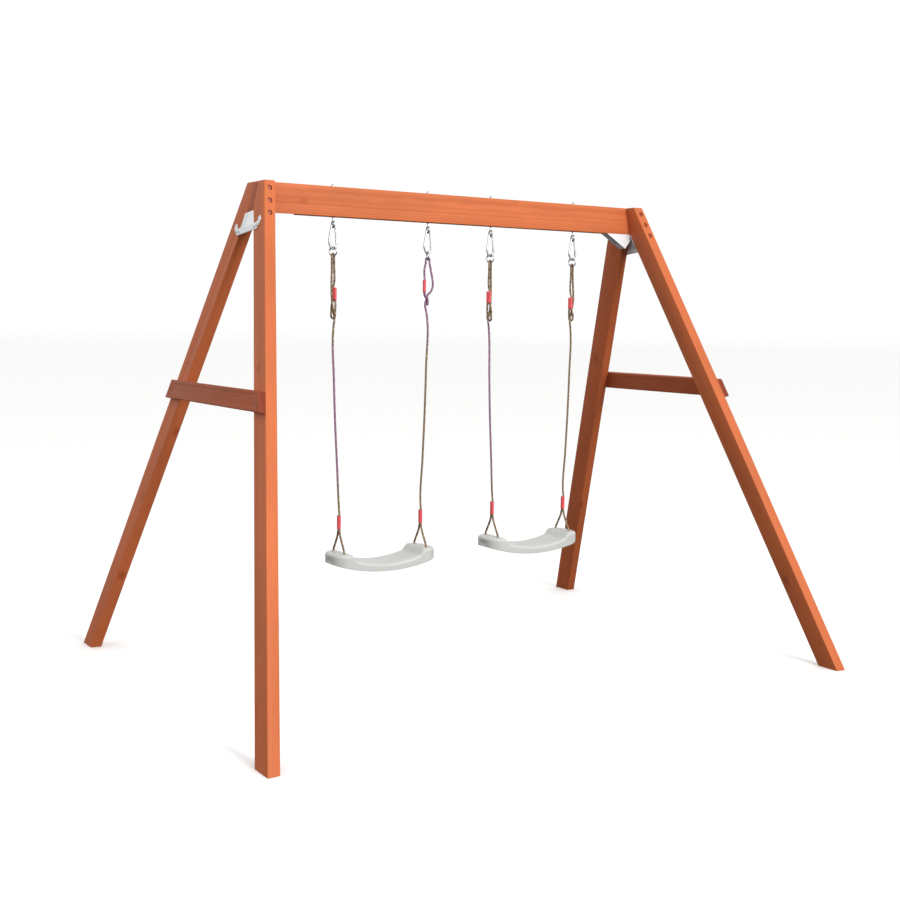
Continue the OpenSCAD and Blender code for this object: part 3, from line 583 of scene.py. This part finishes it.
for k in range(1, 5):
    low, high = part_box(f"carabiner_{k}")
    x, bottom = eye_x[k - 1], low.z + HOOK_WIRE / 2
    length = high.z - low.z - HOOK_WIRE
    hangers = "hangers_left" if k < 3 else "hangers_right"
    nose = length - NOSE_DROP
    line = np.concatenate([
        [[HOOK_TOP_R + 0.001, nose]],
        arc((0, length - HOOK_TOP_R), HOOK_TOP_R, 0, 180),
        [[-HOOK_HALF, WIDEST]],
        arc((0, HOOK_LOW_R), HOOK_LOW_R, 180, 360),
        [WIRE_END],
    ])
    path = upright(softened(line, 0.0012, 0.006), x, bottom)
    # The wire's end is flattened to the tongue over its last 6 mm, and its nose is rounded.
    run = np.linspace(0, 1, len(path)) * (len(path) - 1) * 0.0012
    radius = HOOK_WIRE / 2 * np.sqrt(np.clip(1 - (1 - np.clip(run / 0.0025, 0, 1)) ** 2, 0.12, 1))
    left = run[-1] - run
    radius = radius * np.sqrt(np.clip(1 - (1 - np.clip(left / 0.003, 0, 1)) ** 2, 0.3, 1))
    wire = tube(path, radius[:, None], 20)
    tongue = cheek(stadium(WIRE_END - (0.0, 0.001), PIVOT, 0.0064), -TONGUE_T / 2, TONGUE_T / 2, x, bottom)
    hook = outward(put(f"wire_carabiner_{k}", *merged(wire, tongue), zinc))
    hook.data.set_sharp_from_angle(angle=math.radians(40))
    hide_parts(f"carabiner_{k}")
    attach(hook, hangers)

    # The gate: a rod that narrows to its tip, two fork cheeks and the rivet's heads.
    tip = np.array([HOOK_TOP_R + 0.0015, nose - SHUT_GAP - GATE_D / 2])
    rod = evened(np.array([PIVOT + (tip - PIVOT) * 0.16, tip + (tip - PIVOT) * 0.055]), 0.001)
    run = np.arange(len(rod)) * 0.001
    left = run[-1] - run
    radius = GATE_D / 2 * np.sqrt(np.clip(1 - (1 - np.clip(left / 0.0034, 0, 1)) ** 2, 0.02, 1))
    parts = [tube(upright(rod, x, bottom), radius[:, None], 18)]
    fork = stadium(PIVOT, PIVOT + (tip - PIVOT) * 0.3, FORK_D)
    for inner, outer in ((TONGUE_T / 2 + 0.0003, FORK_W / 2), (-FORK_W / 2, -TONGUE_T / 2 - 0.0003)):
        parts.append(cheek(fork, inner, outer, x, bottom))
    for y, way in ((FORK_W / 2, 1), (-FORK_W / 2, -1)):
        head = np.array([[0.0024, 0.0], [0.0023, 0.0004], [0.0016, 0.0007], [0.0004, 0.0008]])
        points, faces = turned_shape(head[:, 1], head[:, 0], 16, (0, 0, 0))
        points = points @ np.array([[1, 0, 0], [0, 0, 1], [0, way, 0]], float)
        parts.append((points + (x + PIVOT[0], y, bottom + PIVOT[1]), faces))
    gate = outward(put(f"sprung_gate_{k}", *merged(*parts), zinc))
    gate.data.set_sharp_from_angle(angle=math.radians(40))
    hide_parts(f"carabiner_gate_{k}")
    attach(gate, f"gate_{k}")


# ---------- Rope rings ----------
# A welded ring of 6 mm wire hangs in each carabiner and carries the rope's noose. The weld is a low bead
# that was left as it cooled, then plated over with the ring.

RING_WIRE = 0.006
RING_TURNS = (120, -107, -62, -66)
WELD_SWELL = 0.00045
WELD_PLACE = 2.6
WELD_LENGTH = 0.14
for k in range(1, 5):
    low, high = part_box(f"rope_ring_{k}")
    radius = (high.z - low.z - RING_WIRE) / 2
    points, faces = hoop(
        ((low + high) / 2)[:], radius, RING_WIRE, math.radians(RING_TURNS[k - 1]), rings=96,
        swell=lambda a: WELD_SWELL * np.exp(-((a - WELD_PLACE) / WELD_LENGTH) ** 2),
    )
    ring = outward(put(f"welded_ring_{k}", points, faces, zinc))
    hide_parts(f"rope_ring_{k}")
    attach(ring, "swing_left" if k < 3 else "swing_right")


# ---------- Ropes ----------
# Braided polyethylene cord, 9 mm thick, tan with dark brown flecks; parts of three ropes are mauve. Each
# hangs by a noose in its ring and ends in a loop that goes down and up through two holes in the seat.

ROPE_D = 0.009
SLACK = 0.0002
LINK_PLAY = 0.0003
UPPER_SLEEVE = 0.048
LOWER_SLEEVE = 0.054
NOOSE_HALF = (0.008, 0.013, 0.008, 0.008)
SLEEVE_DROP = (0.155, 0.114, 0.153, 0.170)
NOOSE_DROP = (0.252, 0.190, 0.252, 0.246)
HOLE_GAP = (0.376, 0.100)
HOLE_TOP = 0.078
UNDER_SEAT = HOLE_TOP - 0.004 - ROPE_D / 2 - 0.0008
LOWER_SLEEVE_Z = 0.202
WAVES = ((0.25, 0.003), (0.5, 0.004), (0.75, 0.002))
PAIR = ROPE_D / 2 + SLACK


def noose(w, d, e, l):
    """Points of a noose: from the rope's end in the upper sleeve, round the small eye, up over the ring and
    down through the small eye. Each is across the noose, out of its plane, and height, in millimetres."""
    pair, eye, wrap = PAIR * 1e3, (ROPE_D + LINK_PLAY) * 1e3, (ROPE_D / 2 + RING_WIRE / 2 + LINK_PLAY) * 1e3
    return np.array([
        (-w, pair, 10 - d), (-w, pair, -l / 2 - d), (-w + 3, 8, -l / 2 - 14 - d),
        (-1, eye, 22 - e), (0, eye, 10 - e), (0, 7, 3 - e), (0, 0, -e), (0, -7, 3 - e),
        (0, -eye, 10 - e), (-1, -eye, 22 - e), (-w + 3, -8, -l / 2 - 14 - d),
        (-w, -pair, -l / 2 - d), (-w, -pair, l / 2 - d), (-w, -1, l / 2 + 14 - d), (-w, 0, -45),
        (-wrap, 0, -18), (-wrap, 0, -wrap), (-0.87 * wrap, 0, -0.5 * wrap),
        (-0.5 * wrap, 0, -0.13 * wrap), (0, 0, 0), (0.5 * wrap, 0, -0.13 * wrap),
        (0.87 * wrap, 0, -0.5 * wrap), (wrap, 0, -wrap), (wrap, 0, -18), (w, 0, -45),
        (w, 0, -l / 2 - d), (3, 0, 42 - e), (-1, 0, 28 - e), (-eye, 0, 4 - e),
        (-eye, 0, -6 - e), (-4, 0, -30 - e), (0, 0, -60 - e),
    ]) * 1e-3


def lower_end(y, l):
    """Points of a rope's lower end: down through the sleeve, in at the front hole, out at the back one and
    up into the sleeve. Each is to the back, and height over the seat's lower edge, in millimetres."""
    pair, u, z = PAIR * 1e3, UNDER_SEAT * 1e3, LOWER_SLEEVE_Z * 1e3
    return np.array([
        (-1, z + l / 2 + 26), (-pair, z + l / 2), (-pair, z - l / 2), (-8, 160), (-y + 8, 98),
        (-y + 1, 86), (-y, 80), (-y, u + 7), (-y + 0.8, u + 3.2), (-y + 3.5, u + 0.8), (-y + 8, u), (0, u),
        (y - 8, u), (y - 3.5, u + 0.8), (y - 0.8, u + 3.2), (y, u + 7), (y, 80), (y - 1, 86), (y - 8, 98),
        (8, 160), (pair, z - l / 2), (pair, z + l / 2 - 15),
    ]) * 1e-3


def turned_to(points, degrees):
    """The points turned about the upright axis."""
    a = math.radians(degrees)
    return points @ np.array([[math.cos(a), math.sin(a), 0], [-math.sin(a), math.cos(a), 0], [0, 0, 1]])


def route(k):
    """The whole rope's points: its noose, three slight waves down the long stretch, and its lower end."""
    low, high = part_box(f"rope_ring_{k}")
    seat_low, seat_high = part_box("seat_left" if k < 3 else "seat_right")
    outer = -1 if k in (1, 3) else 1
    top = np.array([eye_x[k - 1], 0.0, low.z + RING_WIRE + ROPE_D / 2 + LINK_PLAY])
    i = k - 1
    upper = noose(NOOSE_HALF[i] * 1e3, SLEEVE_DROP[i] * 1e3, NOOSE_DROP[i] * 1e3, UPPER_SLEEVE * 1e3)
    upper = top + turned_to(upper, RING_TURNS[i] + 90)
    flat = lower_end(HOLE_GAP[1] / 2 * 1e3, LOWER_SLEEVE * 1e3)
    x = (seat_low.x + seat_high.x) / 2 + outer * HOLE_GAP[0] / 2
    lower = np.stack([np.full(len(flat), x), flat[:, 0], seat_low.z + flat[:, 1]], 1)
    bent = [upper[-1] + (lower[0] - upper[-1]) * share + (outer * by, 0, 0) for share, by in WAVES]
    return np.concatenate([upper, bent, lower])


def smooth_line(points, step):
    """A smooth curve through the points, evenly sampled: between two of them it is the cubic whose slope at
    each is the mean of the two chords beside it, weighted by the other chord's length."""
    chord = np.diff(points, axis=0)
    length = np.linalg.norm(chord, axis=1)
    slope = chord / length[:, None]
    weight = (length[:-1] + length[1:])[:, None]
    middle = (slope[:-1] * length[1:, None] + slope[1:] * length[:-1, None]) / weight
    slope = np.concatenate([slope[:1], middle, slope[-1:]])
    start = np.concatenate([[0], np.cumsum(length)])
    place = np.linspace(0, start[-1], int(start[-1] / step))
    i = np.clip(np.searchsorted(start, place, "right") - 1, 0, len(length) - 1)
    t, h = ((place - start[i]) / length[i])[:, None], length[i][:, None]
    curve = points[i] * (1 + 2 * t) * (1 - t) ** 2 + slope[i] * h * t * (1 - t) ** 2
    curve += points[i + 1] * t ** 2 * (3 - 2 * t) + slope[i + 1] * h * t ** 2 * (t - 1)
    return evened(curve, step)


STRANDS = 6
LAY = 0.036
STRAND_DEPTH = 0.0009
ROPE_SIDES = 30
ROPE_STEP = 0.0013
DARK_STRANDS = (0, 1, 3)


def braid(count, step):
    """The braid's height from 0 to 1 and its colour, for each ring and side: strands wind both ways round
    the rope, and at each crossing the one on top goes by turns left and right. A strand's own section is a
    power of a cosine's absolute value. Its number, counted round the rope, says if it is tan or dark."""
    run = np.arange(count)[:, None] * step
    around = np.linspace(0, 2 * np.pi, ROPE_SIDES, endpoint=False)[None]
    left = STRANDS * (around - 2 * np.pi * run / LAY)
    right = STRANDS * (around + 2 * np.pi * run / LAY)
    over = 0.25 * np.cos(STRANDS * around + 0 * run)
    lefts = np.abs(np.cos(left / 2)) ** 0.7 * (0.75 + over)
    rights = np.abs(np.cos(right / 2)) ** 0.7 * (0.75 - over)
    left_number, right_number = np.round(left / (2 * np.pi)), np.round(right / (2 * np.pi)) + 1
    number = np.where(lefts > rights, left_number, right_number) % STRANDS
    return np.maximum(lefts, rights), np.isin(number, DARK_STRANDS).astype(float)


def braided_polyethylene(name):
    """Braided polyethylene, tan and dark brown, or mauve where the second attribute says so. The eye sees
    a dull satin cord with specks, a fine filament grain about 0.6 mm wide, and patches of soil."""
    m, out = new_material(name)
    fleck = add_node(m, "Attribute", attribute_name="fleck").outputs["Fac"]
    tinted = add_node(m, "Attribute", attribute_name="mauve").outputs["Fac"]
    shades = []
    for light, dark in (("#A08560", "#3E2B20"), ("#A67C98", "#5C3C54")):
        shade = add_node(m, "Mix", {"Factor": fleck}, data_type="RGBA")
        shade.inputs[6].default_value = linear(light)
        shade.inputs[7].default_value = linear(dark)
        shades.append(shade.outputs[2])
    colour = add_node(m, "Mix", {"Factor": tinted, 6: shades[0], 7: shades[1]}, data_type="RGBA")
    place = add_node(m, "TexCoord").outputs["Object"]
    filaments = add_node(m, "TexNoise", {"Vector": place}, Scale=1800.0, Detail=2.0)
    soil = add_node(m, "TexNoise", {"Vector": place}, Scale=45.0, Detail=3.0)
    dirt = add_node(m, "MapRange", {"Value": soil.outputs["Fac"]},
                    From_Min=0.3, From_Max=0.7, To_Min=0.86, To_Max=1.06)
    worn = add_node(m, "VectorMath", {0: colour.outputs[2], "Scale": dirt.outputs[0]}, operation="SCALE")
    bump = add_node(m, "Bump", {"Height": filaments.outputs["Fac"]}, Strength=0.3, Distance=0.0002)
    return finish_material(m, out, Base_Color=worn.outputs[0], Roughness=0.55, Normal=bump.outputs[0])


cordage = braided_polyethylene("braided_polyethylene")
# Where a rope is mauve: from one height to another, fading over 60 mm. Rope 4 has none.
MAUVE = {1: (0.75, 1.36), 2: (1.30, 1.80), 3: (0.72, 1.46)}
FADE = 0.06
NO_MAUVE = (9.0, 9.1)
TIP = 0.003
for k in range(1, 5):
    points = route(k)
    line = smooth_line(points, ROPE_STEP)
    height, dark = braid(len(line), ROPE_STEP)
    # The cut end is melted to a blunt round tip.
    run = np.arange(len(line)) * ROPE_STEP
    from_tip = np.clip(np.minimum(run, run[::-1]) / TIP, 0, 1)
    blunt = np.sqrt(np.clip(1 - (1 - from_tip) ** 2, 0.1, 1))
    radius = (ROPE_D / 2 - STRAND_DEPTH * (1 - height)) * blunt[:, None]
    rope = put(f"braided_rope_{k}", *tube(line, radius, ROPE_SIDES), cordage)
    low_z, high_z = MAUVE.get(k, NO_MAUVE)
    mauve = np.clip((line[:, 2] - low_z) / FADE, 0, 1) * np.clip((high_z - line[:, 2]) / FADE, 0, 1)
    for name, values in (("fleck", dark), ("mauve", np.repeat(mauve, ROPE_SIDES))):
        store = rope.data.attributes.new(name, "FLOAT", "POINT")
        store.data.foreach_set("value", values.astype(np.float32).ravel())
    outward(rope)
    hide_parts(f"rope_{k}")
    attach(rope, "swing_left" if k < 3 else "swing_right")


# ---------- Sleeves ----------
# Coral red PVC sleeves, cut from extruded tube and pushed over two strands of rope, which hold them by
# friction. Their cut ends are a little rounded, and the middle is drawn in.

SLEEVE_BORE = ROPE_D / 2 + LINK_PLAY / 2
SLEEVE_WALL = 0.0016
SLEEVE_WAIST = 0.00025


def sleeve_shell(centre, degrees, length, sides=44, rows=14):
    """A closed wall round two strands. Its profile runs up the outside, over a round lip, down the inside
    and under a round lip. Each profile point is swept round an outline of two half circles a pair apart."""
    out_z = np.linspace(-1, 1, rows)
    lip = np.radians(np.linspace(0, 180, 7))[1:-1]
    mid, half = SLEEVE_BORE + SLEEVE_WALL / 2, SLEEVE_WALL / 2
    up = length / 2 - half
    outside = SLEEVE_BORE + SLEEVE_WALL - SLEEVE_WAIST * (1 - out_z ** 2)
    inside = np.full(rows, SLEEVE_BORE)
    radii = np.concatenate([outside, mid + half * np.cos(lip), inside, mid - half * np.cos(lip)])
    heights = np.concatenate([out_z * up, up + half * np.sin(lip), -out_z * up, -up - half * np.sin(lip)])
    a = (np.arange(sides) + 0.5) * 2 * np.pi / sides
    flat = np.stack([np.cos(a), np.sin(a)], 1)
    ring = radii[:, None, None] * flat[None] + np.array([0.0, PAIR]) * np.sign(np.sin(a))[None, :, None]
    points = np.concatenate([ring, np.broadcast_to(heights[:, None, None], ring.shape[:2] + (1,))], 2)
    return turned_to(points.reshape(-1, 3), degrees) + centre, grid_faces(len(radii), sides, wrap_rows=True)


# Satin coral plastic with a faint cloud of tone and an almost smooth skin.
coral, coral_out = new_material("extruded_pvc_coral")
coral_place = add_node(coral, "TexCoord").outputs["Object"]
coral_cloud = add_node(coral, "TexNoise", {"Vector": coral_place}, Scale=70.0, Detail=3.0)
coral_tone = add_node(coral, "Mix", {"Factor": coral_cloud.outputs["Fac"]}, data_type="RGBA")
coral_tone.inputs[6].default_value = linear("#E2565C")
coral_tone.inputs[7].default_value = linear("#CF4048")
coral_skin = add_node(coral, "TexNoise", {"Vector": coral_place}, Scale=900.0, Detail=2.0)
coral_bump = add_node(coral, "Bump", {"Height": coral_skin.outputs["Fac"]}, Strength=0.12, Distance=0.0003)
finish_material(coral, coral_out, Base_Color=coral_tone.outputs[2], Roughness=0.42,
                Normal=coral_bump.outputs[0])

for k in range(1, 5):
    upper_turn = RING_TURNS[k - 1] + 90
    for where, degrees, length in (("upper", upper_turn, UPPER_SLEEVE), ("lower", 0, LOWER_SLEEVE)):
        low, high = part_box(f"{where}_sleeve_{k}")
        centre = np.array(((low + high) / 2)[:])
        piece = outward(put(f"pvc_{where}_sleeve_{k}", *sleeve_shell(centre, degrees, length), coral))
        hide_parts(f"{where}_sleeve_{k}")
        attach(piece, "swing_left" if k < 3 else "swing_right")


# ---------- Seats ----------
# One-piece moulded polyethylene seats: a dished top with raised ends for the rope holes, a skirt all round
# with a rolled lower rim, an oval recess in each end, and ribs across the hollow underside.

SEAT_HALF = (0.230, 0.0825)
CORNER_R = 0.055
WALL = 0.004
MIDDLE_H = 0.031
DISH = 0.022
DISH_TO = 0.145
RAISED_FROM = 0.169
UNDER_RISE = 0.036
ROUND_OVER = 0.013
RECESS = (0.025, 0.0105, 0.0026)
RIB_X = (-0.105, -0.035, 0.035, 0.105)
RIB_T = 0.003
HOLE_D = 0.0104
COLLAR_WIRE = 0.003


def softly(x, low, high):
    """Rises smoothly from 0 at low to 1 at high."""
    t = np.clip((x - low) / (high - low), 0, 1)
    return t * t * (3 - 2 * t)


def seat_top(x):
    """Height of the sitting surface: a shallow bowl along the seat that rises to level raised ends."""
    bowl = MIDDLE_H + DISH * (np.minimum(np.abs(x), DISH_TO + 0.004) / DISH_TO) ** 2
    up = softly(np.abs(x), DISH_TO - 0.004, RAISED_FROM)
    return bowl * (1 - up) + HOLE_TOP * up


def seat_rim(x):
    """Height of the skirt's lower edge, which sweeps up towards the ends."""
    return UNDER_RISE * (x / SEAT_HALF[0]) ** 2


def plan_ring(inset):
    """Points round the seat's plan, moved inwards by inset: straight sides and quarter-circle corners,
    whose radius shrinks by the inset until they are sharp."""
    r = max(CORNER_R - inset, 0.0)
    cx, cy = max(SEAT_HALF[0] - inset - r, 0.0), max(SEAT_HALF[1] - inset - r, 0.0)
    corner = np.radians(np.linspace(0, 90, 15))
    quarter = np.stack([cx + r * np.cos(corner), cy + r * np.sin(corner)], 1)
    long_side = np.stack([np.linspace(cx, -cx, 74)[1:-1], np.full(72, cy + r)], 1)
    end_side = np.stack([np.full(18, -cx - r), np.linspace(cy, -cy, 20)[1:-1]], 1)
    half = np.concatenate([quarter, long_side, quarter[::-1] * (-1, 1), end_side])
    return np.concatenate([half, -half])


def seat_shell():
    """The seat's closed wall as rings from the middle of the top, out over the round edge, down the skirt,
    round the rim, and back over the underside one wall's thickness in. A recess is an oval in each end,
    with low upright ribs that are a cosine across it."""
    deepest = SEAT_HALF[1]
    rings = []
    level = np.linspace(deepest, ROUND_OVER, 13)
    rounded = ROUND_OVER * (1 - np.sin(np.radians(np.arange(10, 91, 10))))
    for inset in np.concatenate([level, rounded]):
        ring = plan_ring(inset)
        over = max(ROUND_OVER - inset, 0.0)
        drop = ROUND_OVER - math.sqrt(max(ROUND_OVER ** 2 - over ** 2, 0.0))
        rings.append(np.column_stack([ring, seat_top(ring[:, 0]) - drop]))
    outline = rings[-1]
    for share in np.linspace(0, 1, 15)[1:]:
        ring = outline.copy()
        ring[:, 2] = outline[:, 2] * (1 - share) + (seat_rim(ring[:, 0]) + WALL / 2) * share
        a, b, depth = RECESS
        middle = (HOLE_TOP - ROUND_OVER + UNDER_RISE) / 2
        oval = (ring[:, 1] / a) ** 2 + ((ring[:, 2] - middle) / b) ** 2
        sunk = depth * (1 - softly(oval, 0.55, 1.0)) * (0.85 + 0.15 * np.cos(2 * np.pi * ring[:, 1] / 0.0085))
        ring[:, 0] -= np.sign(ring[:, 0]) * sunk * (np.abs(ring[:, 0]) > 0.2)
        rings.append(ring)
    for turn in np.radians((36, 72, 108, 144)):
        ring = plan_ring(WALL / 2 - WALL / 2 * math.cos(turn))
        rings.append(np.column_stack([ring, seat_rim(ring[:, 0]) + WALL / 2 - WALL / 2 * math.sin(turn)]))
    inner_round = ROUND_OVER - WALL
    for share in np.linspace(0, 1, 8):
        ring = plan_ring(WALL)
        ceiling = seat_top(ring[:, 0]) - WALL - inner_round
        rim = seat_rim(ring[:, 0]) + WALL / 2
        rings.append(np.column_stack([ring, rim * (1 - share) + ceiling * share]))
    rounded = ROUND_OVER - inner_round * np.cos(np.radians(np.arange(15, 91, 15)))
    level = np.linspace(ROUND_OVER, deepest, 12)[1:]
    for inset in np.concatenate([rounded, level]):
        ring = plan_ring(inset)
        over = max(ROUND_OVER - inset, 0.0)
        drop = inner_round - math.sqrt(max(inner_round ** 2 - over ** 2, 0.0))
        rings.append(np.column_stack([ring, seat_top(ring[:, 0]) - WALL - drop]))
    return np.concatenate(rings), grid_faces(len(rings), len(rings[0]))


def seat_rib(x):
    """A thin upright plate across the seat's hollow, let into the top and both skirts."""
    bottom, top = float(seat_rim(x)) + 0.004, float(seat_top(x))
    skirt, flat = SEAT_HALF[1] - WALL / 2, SEAT_HALF[1] - ROUND_OVER
    levels = ((bottom, skirt), (top - ROUND_OVER, skirt), (top - WALL / 2, flat))
    corners = ((-1, -1), (1, -1), (1, 1), (-1, 1))
    outline = [(x + a * RIB_T / 2, b * reach, z) for z, reach in levels for a, b in corners]
    return np.array(outline), capped(3, 4)


def moulded_polyethylene(name):
    """Moulded polyethylene: light warm grey, with a soft sheen, faint clouding and a fine pebbled skin,
    whose pebbles are 1.5 mm across."""
    m, out = new_material(name)
    place = add_node(m, "TexCoord").outputs["Object"]
    cloud = add_node(m, "TexNoise", {"Vector": place}, Scale=22.0, Detail=4.0)
    tone = add_node(m, "Mix", {"Factor": cloud.outputs["Fac"]}, data_type="RGBA")
    tone.inputs[6].default_value = linear("#BFC0BC")
    tone.inputs[7].default_value = linear("#B1B2AD")
    pebbles = add_node(m, "TexVoronoi", {"Vector": place}, Scale=650.0, feature="SMOOTH_F1")
    bump = add_node(m, "Bump", {"Height": pebbles.outputs["Distance"]}, Strength=0.12, Distance=0.0003)
    return finish_material(m, out, Base_Color=tone.outputs[2], Roughness=0.46, Normal=bump.outputs[0])


seat_plastic = moulded_polyethylene("moulded_polyethylene")


def cut_by(piece, cutter):
    """Cuts the cutter's shape out of the piece and deletes the cutter."""
    cut = piece.modifiers.new("cut", "BOOLEAN")
    cut.operation, cut.solver, cut.object = "DIFFERENCE", "EXACT", cutter
    graph = bpy.context.evaluated_depsgraph_get()
    mesh = bpy.data.meshes.new_from_object(piece.evaluated_get(graph))
    piece.modifiers.clear()
    piece.data = mesh
    bpy.data.objects.remove(cutter)


for side in ("left", "right"):
    low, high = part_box("seat_" + side)
    place = np.array([(low.x + high.x) / 2, 0.0, low.z])
    points, faces = seat_shell()
    seat = put("moulded_seat_" + side, points + place, faces, seat_plastic)
    shape = bmesh.new()
    shape.from_mesh(seat.data)
    bmesh.ops.remove_doubles(shape, verts=shape.verts, dist=WELD)
    bmesh.ops.recalc_face_normals(shape, faces=shape.faces)
    shape.to_mesh(seat.data)
    shape.free()
    holes = [(x * HOLE_GAP[0] / 2, y * HOLE_GAP[1] / 2) for x in (-1, 1) for y in (-1, 1)]
    drills = [turned_shape((0.04, 0.10), (HOLE_D / 2, HOLE_D / 2), 28, place + (x, y, 0)) for x, y in holes]
    cut_by(seat, outward(put("drill", *merged(*drills), seat_plastic)))
    seat.data.set_sharp_from_angle(angle=math.radians(50))
    # Ribs below, and a rolled collar round the mouth of each rope hole.
    parts = [seat_rib(x) for x in RIB_X]
    for x, y in holes:
        ring, ring_faces = hoop((0, 0, 0), HOLE_D / 2 + COLLAR_WIRE / 2, COLLAR_WIRE, 0.0, rings=28, sides=12)
        parts.append((ring[:, [0, 2, 1]] + (x, y, HOLE_TOP - 0.0004), ring_faces))
    points, faces = merged(*parts)
    fittings = outward(put("moulded_ribs_and_collars_" + side, points + place, faces, seat_plastic))
    fittings.data.set_sharp_from_angle(angle=math.radians(40))
    for piece in (seat, fittings):
        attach(piece, "swing_" + side)
    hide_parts("seat_" + side)
